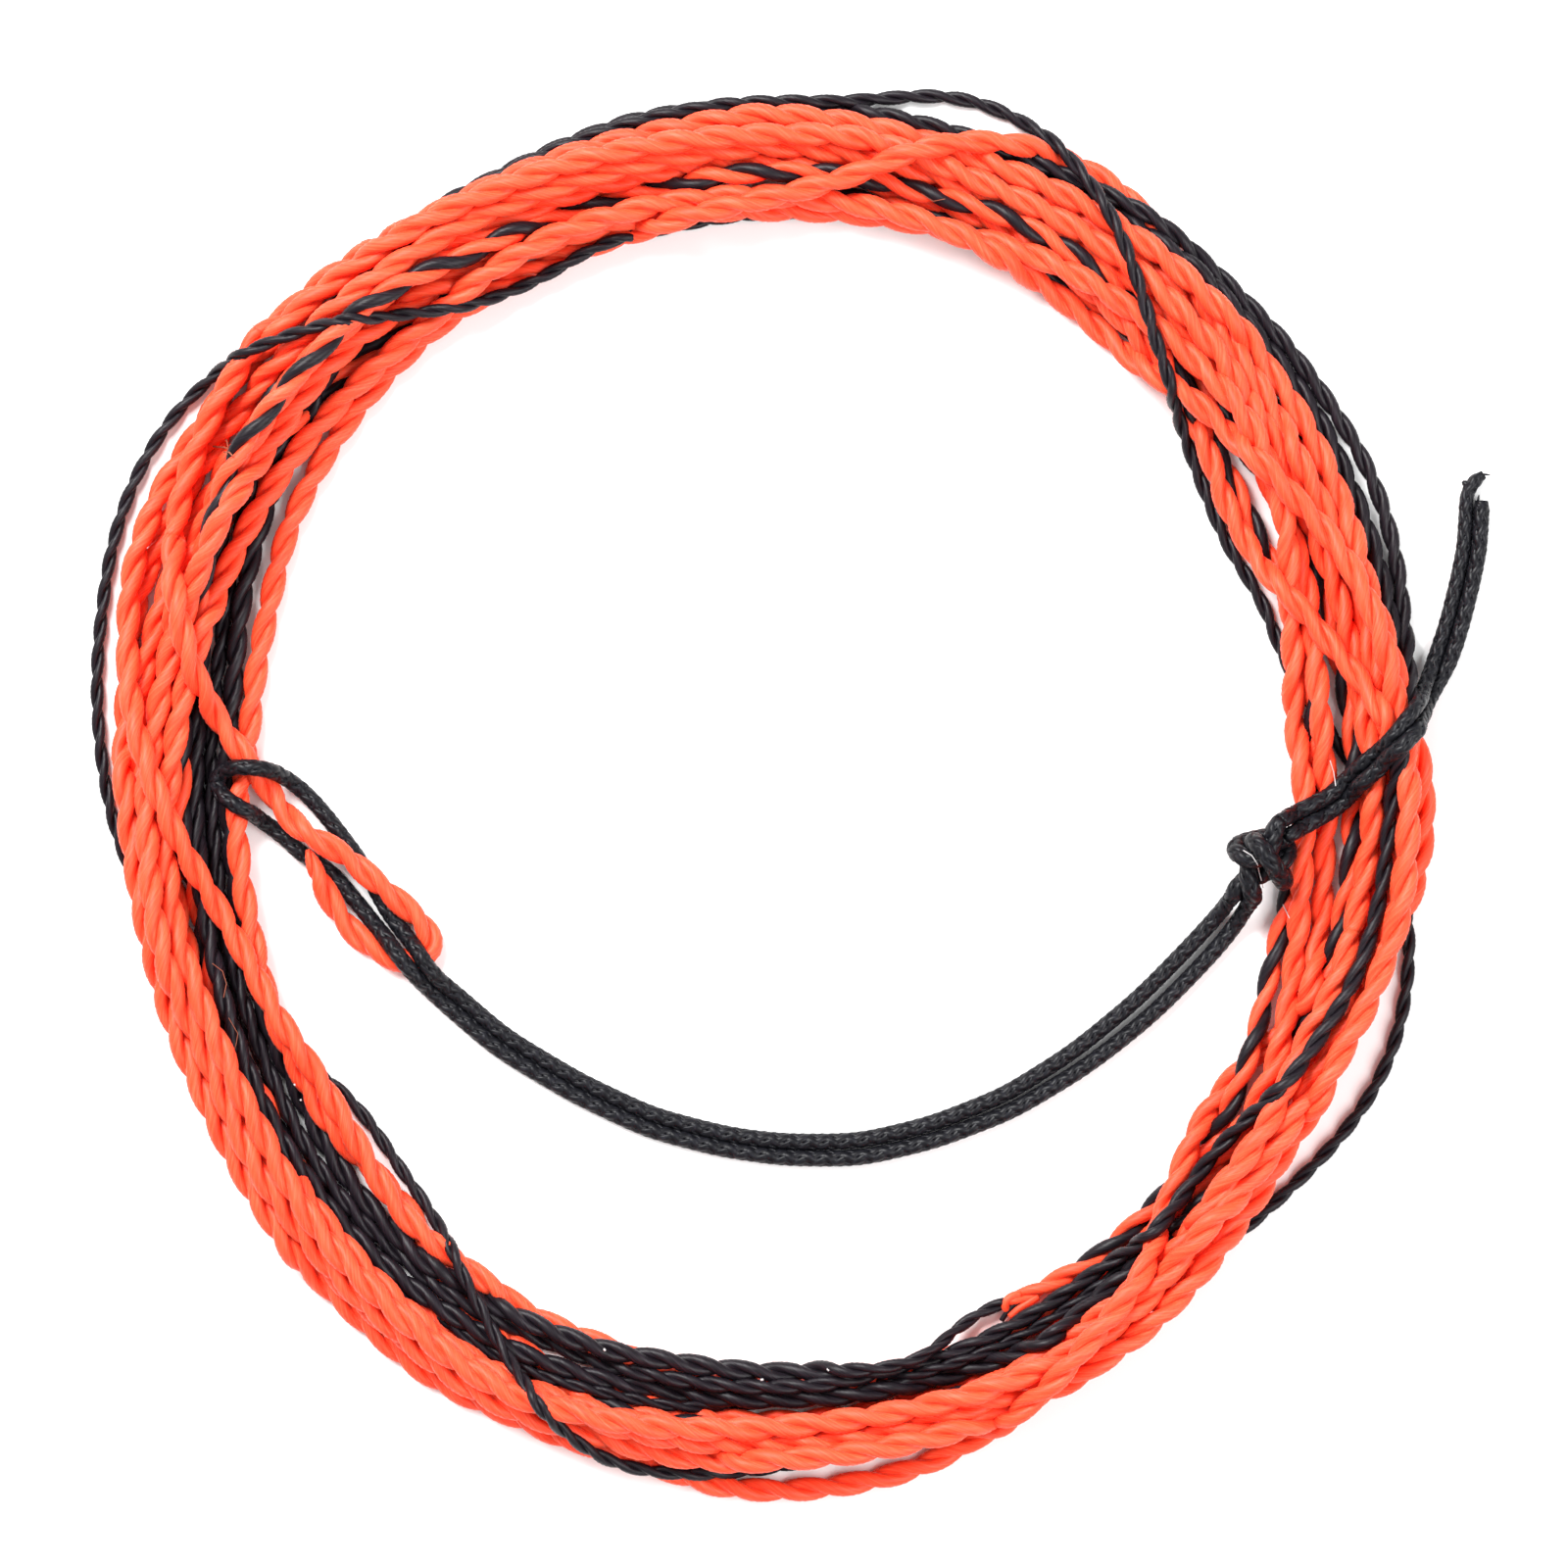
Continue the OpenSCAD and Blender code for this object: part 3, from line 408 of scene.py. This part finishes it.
along = travelled(lineLaid)
widthLaid = lineWidth(along / along[-1])
braidWidth = [np.full(len(x), connector["diameter"] * connector["swell"]) for x in (loopLaid, *tailsLaid)]
braidHold = [np.full(len(x), connector["hold"]) for x in (loopLaid, *tailsLaid)]
braidHold[0][[0, -1]] = 1
for h in braidHold[1:]:
    h[0] = 1
lineSettled, loopSettled, *tailsSettled = letSettle(
    [lineLaid, loopLaid, *tailsLaid], [widthLaid, *braidWidth],
    [np.full(len(lineLaid), settle["hold"]), *braidHold], settle)
print("settled: the pile is", round((lineSettled[:, 2] + widthLaid / 2).max(), 2), "mm high")


def tubeMesh(name, rings, along, materials, faceMaterial=0):
    # rings[k, i, j] is point j of ring i of tube k; u runs along the tube (mm) and v once round it.
    tubes, count, sides = rings.shape[:3]
    ringStart = (np.arange(tubes)[:, None, None] * count + np.arange(count - 1)[None, :, None]) * sides
    j = np.arange(sides)[None, None, :]
    k = (j + 1) % sides
    walls = np.stack(np.broadcast_arrays(ringStart + j, ringStart + k, ringStart + sides + k,
                                         ringStart + sides + j), -1).reshape(-1, 4)
    mesh = bpy.data.meshes.new(name)
    capStart = np.arange(tubes)[:, None] * count * sides
    caps = np.concatenate([capStart + np.arange(sides)[None, ::-1],
                           capStart + (count - 1) * sides + np.arange(sides)[None]])
    points = (rings.reshape(-1, 3) * mm).astype(np.float32)
    loops = np.concatenate([walls.ravel(), caps.ravel()]).astype(np.int32)
    starts = np.concatenate([np.arange(len(walls)) * 4, len(walls) * 4 + np.arange(len(caps)) * sides])
    mesh.vertices.add(len(points))
    mesh.loops.add(len(loops))
    mesh.polygons.add(len(starts))
    mesh.vertices.foreach_set("co", points.ravel())
    mesh.loops.foreach_set("vertex_index", loops)
    mesh.polygons.foreach_set("loop_start", starts.astype(np.int32))
    for m in materials:
        mesh.materials.append(m)
    if np.ndim(faceMaterial):
        perRing = np.broadcast_to(faceMaterial, (tubes, count - 1))
        perFace = np.concatenate([np.repeat(perRing, sides), perRing[:, 0], perRing[:, -1]])
        mesh.polygons.foreach_set("material_index", perFace.astype(np.int32))
    uv = mesh.uv_layers.new(name="lay")
    u = np.broadcast_to(along[None, :-1, None], (tubes, count - 1, sides))
    u2 = np.broadcast_to(along[None, 1:, None], u.shape)
    v = np.broadcast_to(j / sides, u.shape)
    v2 = v + 1 / sides
    wallUv = np.stack([np.stack([u, u, u2, u2], -1), np.stack([v, v2, v2, v], -1)], -1).reshape(-1, 2)
    uv.data.foreach_set("uv", np.concatenate([wallUv.ravel(), np.zeros(caps.size * 2)]).astype(np.float32))
    mesh.update(calc_edges=True)
    mesh.validate()
    mesh.polygons.foreach_set("use_smooth", np.ones(len(mesh.polygons), bool))
    piece = bpy.data.objects.new(name, mesh)
    bpy.context.scene.collection.objects.link(piece)
    return piece


def crossFrame(line):
    # The way along the line, the level way across it, and the way square to both.
    way = np.gradient(line, axis=0)
    way /= np.linalg.norm(way, axis=1)[:, None]
    side = np.cross([0, 0, 1.0], way)
    side /= np.linalg.norm(side, axis=1)[:, None]
    return way, side, np.cross(way, side)


def plyRings(line, width, turn, count, shape):
    # Ply k is an oval carried round the line: centre = line + offset (cos t side + sin t rise),
    # t = turn + 2 pi k / count.
    way, side, rise = crossFrame(line)
    t = turn[None, :] + 2 * np.pi * np.arange(count)[:, None] / count
    outward = np.cos(t)[..., None] * side + np.sin(t)[..., None] * rise
    around = -np.sin(t)[..., None] * side + np.cos(t)[..., None] * rise
    centre = line + outward * (width * shape["offset"])[..., None]
    phi = np.pi + 2 * np.pi * np.arange(shape["sides"]) / shape["sides"]
    deep = (width * shape["deep"])[None, :, None, None] * np.cos(phi)[None, None, :, None]
    broad = (width * shape["broad"])[None, :, None, None] * np.sin(phi)[None, None, :, None]
    return centre[:, :, None] + outward[:, :, None] * deep + around[:, :, None] * broad


def roundRings(line, width, sides=6):
    # One round strand: centre + half width (cos phi side + sin phi rise).
    side, rise = crossFrame(line)[1:]
    phi = 2 * np.pi * np.arange(sides)[None, :, None] / sides
    return (line[:, None] + width / 2 * (np.cos(phi) * side[:, None] + np.sin(phi) * rise[:, None]))[None]


def joinAll(pieces):
    # Several meshes made one; a single one stays as it is.
    if len(pieces) > 1:
        with bpy.context.temp_override(active_object=pieces[0], selected_editable_objects=pieces):
            bpy.ops.object.join()
    return pieces[0]


def shaderNode(material, kind, where, **settings):
    node = material.node_tree.nodes.new(kind)
    node.location = where
    for key, value in settings.items():
        setattr(node, key, value)
    return node


filaments = dict(detail=3, rough=0.55, tints=(0.3, 0.5, 0.72), height=0.02, sheenRough=0.4,
                 soakColours=(1.0, 0.35, 0.15), soakDepth=0.25)


def yarnMaterial(name, m, f=filaments):
    # Filaments run along the ply: fine noise, long in u and short in v, tints the colour and lifts the
    # surface.
    material = bpy.data.materials.new(name)
    material.use_nodes = True
    nodes, links = material.node_tree.nodes, material.node_tree.links
    shader = nodes["Principled BSDF"]
    lay = shaderNode(material, "ShaderNodeUVMap", (-1200, 0), uv_map="lay")
    stretch = shaderNode(material, "ShaderNodeMapping", (-1000, 0))
    stretch.inputs["Scale"].default_value = (m["along"], m["round"], 1)
    links.new(lay.outputs["UV"], stretch.inputs["Vector"])
    fibre = shaderNode(material, "ShaderNodeTexNoise", (-800, 0))
    fibre.inputs["Scale"].default_value = 1
    fibre.inputs["Detail"].default_value = f["detail"]
    fibre.inputs["Roughness"].default_value = f["rough"]
    links.new(stretch.outputs["Vector"], fibre.inputs["Vector"])
    ramp = shaderNode(material, "ShaderNodeValToRGB", (-600, 100))
    ramp.color_ramp.elements[0].position = f["tints"][0]
    ramp.color_ramp.elements[1].position = f["tints"][2]
    ramp.color_ramp.elements[0].color = (*m["dark"], 1)
    ramp.color_ramp.elements[1].color = (*m["light"], 1)
    middle = ramp.color_ramp.elements.new(f["tints"][1])
    middle.color = (*m["colour"], 1)
    links.new(fibre.outputs["Fac"], ramp.inputs["Fac"])
    links.new(ramp.outputs["Color"], shader.inputs["Base Color"])
    bump = shaderNode(material, "ShaderNodeBump", (-400, -200))
    bump.inputs["Strength"].default_value = m["bump"]
    bump.inputs["Distance"].default_value = f["height"] * mm
    links.new(fibre.outputs["Fac"], bump.inputs["Height"])
    links.new(bump.outputs["Normal"], shader.inputs["Normal"])
    shader.inputs["Roughness"].default_value = m["rough"]
    shader.inputs["Specular IOR Level"].default_value = m["gloss"]
    shader.inputs["Sheen Weight"].default_value = m["sheen"]
    shader.inputs["Sheen Roughness"].default_value = f["sheenRough"]
    shader.inputs["Sheen Tint"].default_value = (*m["sheenColour"], 1)
    shader.inputs["Subsurface Weight"].default_value = m["soak"]
    shader.inputs["Subsurface Radius"].default_value = f["soakColours"]
    shader.inputs["Subsurface Scale"].default_value = f["soakDepth"] * mm
    return material


orangeYarn = yarnMaterial("orangeYarn", dict(
    colour=(0.95, 0.068, 0.02), dark=(0.84, 0.042, 0.012), light=(0.98, 0.125, 0.056),
    along=0.5, round=22, bump=0.55, rough=0.52, gloss=0.32, sheen=0.1, sheenColour=(1, 0.6, 0.5), soak=0.25))
blackYarn = yarnMaterial("blackYarn", dict(
    colour=(0.008, 0.0058, 0.0085), dark=(0.0045, 0.003, 0.0045), light=(0.021, 0.0145, 0.021),
    along=0.5, round=22, bump=0.7, rough=0.4, gloss=0.2, sheen=0, sheenColour=(1, 1, 1), soak=0))
blackBraid = yarnMaterial("blackBraid", dict(
    colour=(0.0055, 0.0055, 0.0075), dark=(0.004, 0.004, 0.0055), light=(0.015, 0.015, 0.02),
    along=3, round=6, bump=0.6, rough=0.38, gloss=0.18, sheen=0, sheenColour=(1, 1, 1), soak=0))
paleFibre = yarnMaterial("paleFibre", dict(
    colour=(0.55, 0.53, 0.53), dark=(0.4, 0.38, 0.38), light=(0.7, 0.7, 0.7), along=1, round=1,
    bump=0, rough=0.5, gloss=0.3, sheen=0, sheenColour=(1, 1, 1), soak=0))
dullFibre = yarnMaterial("dullFibre", dict(
    colour=(0.3, 0.09, 0.05), dark=(0.25, 0.07, 0.04), light=(0.35, 0.12, 0.07), along=1, round=1,
    bump=0, rough=0.6, gloss=0.2, sheen=0, sheenColour=(1, 1, 1), soak=0))

# The line's five pieces.
plies = dict(spacing=0.27, sides=10, offset=0.228, deep=0.272, broad=0.33, pitch=4.1, pitchPower=0.6)

whole = resample(smoothAlong(resample(lineSettled, 0.2), 4), plies["spacing"])
wholeAlong = travelled(whole)
wholeLength = wholeAlong[-1]
part = wholeAlong / wholeLength
jointAt = nearestTo(whole, part, joints["at"], joints["between"])
fromJoint = wholeAlong - wholeAlong[jointAt]
wholeWidth = lineWidth(part) * np.interp(fromJoint, joints["neck"], joints["neckWidth"])
wholeWidth *= np.interp(wholeLength - wholeAlong, joints["end"], joints["endWidth"])
lapEnd = nearestTo(whole, part, eyeTable[0][:2], joints["leadBetween"])
eyeFrom = np.searchsorted(wholeAlong, wholeAlong[lapEnd] - joints["leadLength"])
print("line:", round(wholeLength), "mm in", len(whole), "rings")
wholePitch = plies["pitch"] * wholeWidth ** plies["pitchPower"]
wholeTurn = np.r_[0, np.cumsum(2 * np.pi * np.diff(wholeAlong) / wholePitch[1:])]

cuts = dict(blackLine=(0, part[jointAt]), stripedLine=(part[jointAt], joints["stripedOrange"]),
            lowerOrange=(joints["stripedOrange"], joints["orangeSplit"]),
            upperOrange=(joints["orangeSplit"], part[eyeFrom]), buttEye=(part[eyeFrom], 1))
finishOf = dict(blackLine=[blackYarn], stripedLine=[orangeYarn, blackYarn], lowerOrange=[orangeYarn],
                upperOrange=[orangeYarn], buttEye=[orangeYarn])
nodeOf = dict(blackLine=["black_section"], stripedLine=["striped_section"], lowerOrange=["orange_section"],
              upperOrange=["orange_section"], buttEye=["butt_lead", "butt_eye"])

for name, (start, end) in cuts.items():
    rows = np.arange(np.searchsorted(part, start - 1e-9), np.searchsorted(part, end - 1e-9) + 1)
    rings = plyRings(whole[rows], wholeWidth[rows], wholeTurn[rows], 2, plies)
    mats = finishOf[name]
    blackPly = 0
    if len(mats) > 1:
        # the second ply is orange too where the orange loop turns back, until it next dips under the first
        pastTurn = wholeAlong[rows] > wholeAlong[rows[0]] + joints["turnedBack"]
        low = pastTurn & (np.sin(wholeTurn[rows]) > 0.9)
        blackPly = np.stack([np.zeros(len(rows) - 1), np.arange(len(rows) - 1) >= np.argmax(low)])
    piece = tubeMesh(name, rings, wholeAlong[rows], mats, blackPly)
    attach(piece, "root")
    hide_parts(*nodeOf[name])

# Where the colours meet: the orange loop turns round the black one, and each leaves a short leg.
# Each is a finish, a width and places from the meeting point: x, y, z (mm).
meeting = dict(
    orangeTurn=(orangeYarn, 0.46, [(0.8, 0.4, 0.05), (0.35, 0.32, 0.15), (0.03, 0.07, 0.2),
                                   (-0.03, -0.2, 0.1), (0.1, -0.4, -0.1)]),
    orangeLeg=(orangeYarn, 0.4, [(1.7, 0.3, 0), (1.29, 0.04, 0.1), (0.65, -0.35, 0.1), (0.2, -0.77, 0)]),
    blackLeg=(blackYarn, 0.28, [(1.05, 0.05, 0), (0.52, -0.07, 0.1), (0.1, -0.49, 0), (-0.22, -0.98, -0.1)]))
legs = []
for name, (finish, width, places) in meeting.items():
    strand = resample(smoothAlong(resample(whole[jointAt] + np.array(places), 0.05), 2), 0.1)
    legs.append(tubeMesh(name, roundRings(strand, width, 10), travelled(strand), [finish]))
colourMeeting = joinAll(legs)
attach(colourMeeting, "root")

# The connector: its loop, overhand knot and two cut ends.
braid = dict(spacing=0.12, carriers=4, sides=6, pitch=4.0, radius=0.33, wave=0.035, deep=0.15,
             broad=0.3, core=0.33, endLength=0.5, fine=0.1, reach=3)
knot = dict(span=2.12, points=240, size=0.8, rise=1.2, roll=305, gap=0.5, spacing=0.25, held=4,
            rounds=700, calm=80, tight=0.5, calmTight=0.05, refresh=20, passes=3, push=0.5, squeeze=1.14,
            search=1.3, apart=1.35, least=1e-9)


def carriedFrame(line):
    # A frame carried along the line without twist: each step turns the last side square to the new way.
    way = np.gradient(line, axis=0)
    way /= np.linalg.norm(way, axis=1)[:, None]
    side = np.cross([0, 0, 1.0], way[0])
    sides = [side / np.linalg.norm(side)]
    for w in way[1:]:
        side = sides[-1] - w * (sides[-1] @ w)
        sides.append(side / np.linalg.norm(side))
    sides = np.array(sides)
    return sides, np.cross(way, sides)


def braidRings(line, b, diameter, swell):
    # Two sets of carriers wind opposite ways round a core; one set rises as the other dips.
    side, rise = carriedFrame(line)
    along = travelled(line)
    width = diameter * np.interp(along, [0, b["endLength"], along[-1] - b["endLength"], along[-1]], swell)
    phi = 2 * np.pi * np.arange(b["sides"]) / b["sides"]
    tubes = []
    for hand in (1, -1):
        for k in range(b["carriers"]):
            t = hand * 2 * np.pi * along / b["pitch"] + 2 * np.pi * k / b["carriers"]
            wave = hand * b["wave"] * np.cos(2 * np.pi * b["carriers"] * along / b["pitch"])
            outward = np.cos(t)[:, None] * side + np.sin(t)[:, None] * rise
            around = -np.sin(t)[:, None] * side + np.cos(t)[:, None] * rise
            centre = line + outward * (width * (b["radius"] + wave))[:, None]
            deep = (width[:, None] * b["deep"] * np.cos(phi))[..., None]
            broad = (width[:, None] * b["broad"] * np.sin(phi))[..., None]
            tubes.append(centre[:, None] + outward[:, None] * deep + around[:, None] * broad)
    tubes.append(line[:, None] + side[:, None] * (width[:, None] * b["core"] * np.cos(phi))[..., None]
                 + rise[:, None] * (width[:, None] * b["core"] * np.sin(phi))[..., None])
    return np.array(tubes), along


def overhandKnot(starts, ends, diameter, k):
    # Two strands start side by side on the curve x = (t^5 - 10t) / 7, y = t^3 - 3t,
    # z = 3/4 (t^4 - 4t^2) + rise, and are drawn tight: each point moves towards its neighbours' middle,
    # and strands that touch part.
    t = np.linspace(-k["span"], k["span"], k["points"])
    height = (t ** 4 - 4 * t ** 2) * 0.75 + k["rise"]
    curve = np.stack([(t ** 5 - 10 * t) / 7, t ** 3 - 3 * t, height], 1) * k["size"]
    middleIn, middleOut = np.mean([x[-1] for x in starts], 0), np.mean([x[0] for x in ends], 0)
    axis = (middleOut - middleIn) / np.linalg.norm(middleOut - middleIn)
    level = np.cross([0, 0, 1.0], axis)
    level /= np.linalg.norm(level)
    roll = np.radians(k["roll"])
    across = np.cos(roll) * level + np.sin(roll) * np.cross(axis, level)
    above = np.cross(axis, across)
    curve = (middleIn + middleOut) / 2 + curve @ np.array([axis, across, above])
    firm = np.cross(np.gradient(curve, axis=0), above)
    firm /= np.linalg.norm(firm, axis=1)[:, None]
    held = len(starts[0])
    strands = []
    for s, e, hand in zip(starts, ends, (1, -1)):
        middle = np.vstack([s[-1:], curve + hand * firm * diameter * k["gap"], e[:1]])
        strands.append(np.vstack([s, resample(middle, k["spacing"])[1:-1], e]))
    for turn in range(k["rounds"]):
        if turn % k["refresh"] == 0:
            strands = [np.vstack([x[:held], resample(x[held - 1:1 - held], k["spacing"])[1:-1], x[-held:]])
                       for x in strands]
            first, p = len(strands[0]), np.vstack(strands)
            fixed = np.r_[0:held, first - held:first + held, len(p) - held:len(p)]
            home, free = p[fixed].copy(), np.setdiff1d(np.arange(len(p)), fixed)
            i, j = np.triu_indices(len(p), 1)
            use = ((i < first) != (j < first)) | (j - i > k["apart"] * diameter / k["spacing"] + 1)
            i, j = i[use], j[use]
        tight = k["tight"] if turn < k["rounds"] - k["calm"] else k["calmTight"]
        p[free] += ((p[free - 1] + p[free + 1]) / 2 - p[free]) * tight
        close = np.linalg.norm(p[i] - p[j], axis=1) < k["search"] * diameter
        a, b = i[close], j[close]
        touch = np.full(len(a), diameter * k["squeeze"])
        for again in range(k["passes"]):
            p += partTouching(p, a, b, touch, k)
            p[:, 2] = np.maximum(p[:, 2], diameter / 2)
        p[fixed] = home
        strands = [p[:first], p[first:]]
    return strands


held = knot["held"]
into = [loopSettled[:held][::-1], loopSettled[-held:]]
knotStrands = overhandKnot(into, [x[:held] for x in tailsSettled], connector["diameter"], knot)
knotStrands = [x[held - 1:1 - held] for x in knotStrands]
print("knot:", [round(travelled(x)[-1], 1) for x in knotStrands], "mm of braid")

# One length of braid: long tail, knot, loop, knot and short tail; smoothed whole, then divided.
stretches = [tailsSettled[0][::-1], knotStrands[0][::-1][1:], loopSettled[1:], knotStrands[1][1:],
             tailsSettled[1][1:]]
lengths = [travelled(np.vstack(stretches[:n + 1]))[-1] for n in range(5)]
braidLine = smoothAlong(resample(np.vstack(stretches), braid["fine"]), braid["reach"])
braidLine = resample(braidLine, braid["spacing"])
divide = [0] + [int(round(x / lengths[-1] * (len(braidLine) - 1))) for x in lengths]
spans = [braidLine[divide[n]:divide[n + 1] + 1] for n in range(5)]


def woven(line, swell=(1, 1, 1, 1)):
    # swell: the width at the start, half a millimetre on, half a millimetre before the end, and at the end.
    return braidRings(line, braid, connector["diameter"], swell)


def braidPiece(name, sweeps, nodes, melted=()):
    # One named piece from stretches of braid and any melted drops on them.
    piece = joinAll([tubeMesh(name, rings, along, [blackBraid]) for rings, along in sweeps] + list(melted))
    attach(piece, "root")
    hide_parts(*nodes)
    return piece


def meltedBead(place, reach, width):
    # A drop of melted braid that stands off a cut end: from the end's place, reach gives its way and length.
    strand = np.array(place) + np.linspace(0, 1, 6)[:, None] * np.array(reach)
    middle = strand[None, :, None]
    narrowing = np.array([1, 1, 0.95, 0.85, 0.65, 0.3])[None, :, None, None]
    rings = middle + (roundRings(strand, width, 8) - middle) * narrowing
    return tubeMesh("meltedBead", rings, travelled(strand), [blackBraid])


longBeads = [meltedBead(braidLine[8], (-0.42, 0.3, 0), 0.45),
             meltedBead(braidLine[0], (0.34, -0.02, 0), 0.12)]
shortBeads = [meltedBead(braidLine[-3] + [-0.15, -0.1, 0.1], (0.3, 0.25, 0.1), 0.5),
              meltedBead(braidLine[-1] + [-0.2, 0, 0.1], (0.05, 0.3, 0), 0.12)]
longTail = braidPiece("longTail", [woven(spans[0], (0.5, 0.85, 1, 1))], ["long_tail"], longBeads)
shortTail = braidPiece("shortTail", [woven(spans[4], (1, 1, 1, 0.8))], ["short_tail"], shortBeads)
knotSwell = (1, 1.17, 1.17, 1)
overhand = braidPiece("overhandKnot", [woven(spans[n], knotSwell) for n in (1, 3)], ["connector_knot"])
# The loop is one braid, told as two strands that meet where it turns round the line.
loopRings, loopAlong = woven(spans[2])
turnAt = np.argmin(spans[2][:, 0])
knotPieces = [overhand, longTail, shortTail]
for name, rows, farEnd, knotted in (("upperStrand", slice(0, turnAt + 1), "object", knotPieces),
                                    ("lowerStrand", slice(turnAt, None), "knot", [])):
    strand = braidPiece(name, [(loopRings[:, rows], loopAlong[rows])], ["connector_loop"])
print("connector:", round(travelled(braidLine)[-1]), "mm of braid; cut ends",
      [round(travelled(x)[-1], 1) for x in (spans[0], spans[4])], "and knot",
      [round(travelled(x)[-1], 1) for x in (spans[1], spans[3])])

# Loose fibres: a finish, a width and places (x, y in mm); each lies on whatever is under it.
fibres = [
    (paleFibre, 0.06, [(23.0, -2.87), (23.42, -3.12), (23.74, -3.6), (23.99, -4.37), (24.25, -4.81)]),
    (paleFibre, 0.05, [(27.55, 1.7), (27.75, 1.1), (27.8, 0.4)]),
    (paleFibre, 0.05, [(25.2, -5.65), (25.35, -5.95), (25.5, -6.35)]),
    (dullFibre, 0.035, [(-29.44, -8.64), (-28.9, -9.04), (-28.68, -9.66), (-28.81, -10.37)]),
    (dullFibre, 0.035, [(-28.55, -11.4), (-28.1, -12.2), (-28.28, -13.4)]),
    (dullFibre, 0.035, [(6.7, 30.6), (7.3, 30.2), (7.9, 30.3)]),
    (dullFibre, 0.09, [(-29.5, 17.75), (-28.9, 17.7), (-28.5, 17.5)]),
    (dullFibre, 0.09, [(-28.8, 18.1), (-28.65, 17.6), (-28.55, 17.2)]),
    (dullFibre, 0.08, [(-28.9, 17.45), (-28.4, 17.3), (-28.2, 17.1)]),
    (dullFibre, 0.08, [(-28.35, 17.9), (-28.6, 17.6), (-28.75, 17.35)]),
    (dullFibre, 0.04, [(-27.45, 23.95), (-27.2, 23.75), (-26.95, 23.65)]),
    (paleFibre, 0.12, [(-9.5, -28.3), (-9.4, -28.4)]),
    (paleFibre, 0.12, [(-1.5, -29.9), (-1.35, -29.88)]),
    (paleFibre, 0.1, [(1.9, -29.3), (2.0, -29.4)]),
    (paleFibre, 0.1, [(-25.3, -14.8), (-25.25, -14.9)]),
    (paleFibre, 0.1, [(-25, -15.6), (-24.95, -15.68)])]


def lyingOn(places, under, widths):
    # The top of a round cord: z + the root of (half width squared - sideways distance squared).
    line = resample(np.array(places, float), 0.05)
    across = ((line[:, None] - under[None, :, :2]) ** 2).sum(2)
    top = under[:, 2] + np.sqrt(np.maximum((widths / 2) ** 2 - across, 0))
    height = np.max(np.where(across < (widths / 2) ** 2, top, 0), 1)
    return np.column_stack([line, smoothAlong(height, 3)])


lying = dict(fine=0.1, braidSpread=1.2, lift=0.08)
supports = [resample(x, lying["fine"]) for x in (lineSettled, *spans)]
cordPoints = np.vstack(supports)
cordWidths = np.concatenate([np.interp(np.linspace(0, 1, len(supports[0])), part, wholeWidth)] +
                            [np.full(len(x), connector["diameter"] * lying["braidSpread"])
                             for x in supports[1:]])
hairs = []
for finish, width, places in fibres:
    hair = lyingOn(places, cordPoints, cordWidths) + [0, 0, lying["lift"]]
    hairs.append(tubeMesh("looseFibre", roundRings(hair, width), travelled(hair), [finish]))
looseFibres = joinAll(hairs)
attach(looseFibres, "root")

# Each softbox is a place (m), a power (W) and a size (m).
studio = dict(sky=0.62, floorHalf=3, floorWhite=0.9, floorRough=0.9,
              softboxes=(((-0.2, 0.25, 0.35), 4.2, 0.22), ((0.28, -0.1, 0.35), 2.0, 0.3)))


def makeStudio(light):
    # Even white light, two softboxes turned to the middle, and a pale floor.
    world = bpy.data.worlds.new("studio")
    bpy.context.scene.world = world
    world.use_nodes = True
    sky = world.node_tree.nodes["Background"]
    sky.inputs["Color"].default_value = (1, 1, 1, 1)
    sky.inputs["Strength"].default_value = light["sky"]
    mesh = bpy.data.meshes.new("floor")
    half = light["floorHalf"]
    corners = [(-half, -half, 0), (half, -half, 0), (half, half, 0), (-half, half, 0)]
    mesh.from_pydata(corners, [], [(0, 1, 2, 3)])
    floor = bpy.data.objects.new("floor", mesh)
    white = bpy.data.materials.new("paleFloor")
    white.use_nodes = True
    shader = white.node_tree.nodes["Principled BSDF"]
    shader.inputs["Base Color"].default_value = (*[light["floorWhite"]] * 3, 1)
    shader.inputs["Roughness"].default_value = light["floorRough"]
    mesh.materials.append(white)
    bpy.context.scene.collection.objects.link(floor)
    for place, power, size in light["softboxes"]:
        data = bpy.data.lights.new("softbox", "AREA")
        data.energy, data.size = power, size
        lamp = bpy.data.objects.new("softbox", data)
        lamp.location = place
        lamp.rotation_euler = Vector(-np.array(place)).to_track_quat("-Z", "Y").to_euler()
        bpy.context.scene.collection.objects.link(lamp)


makeStudio(studio)
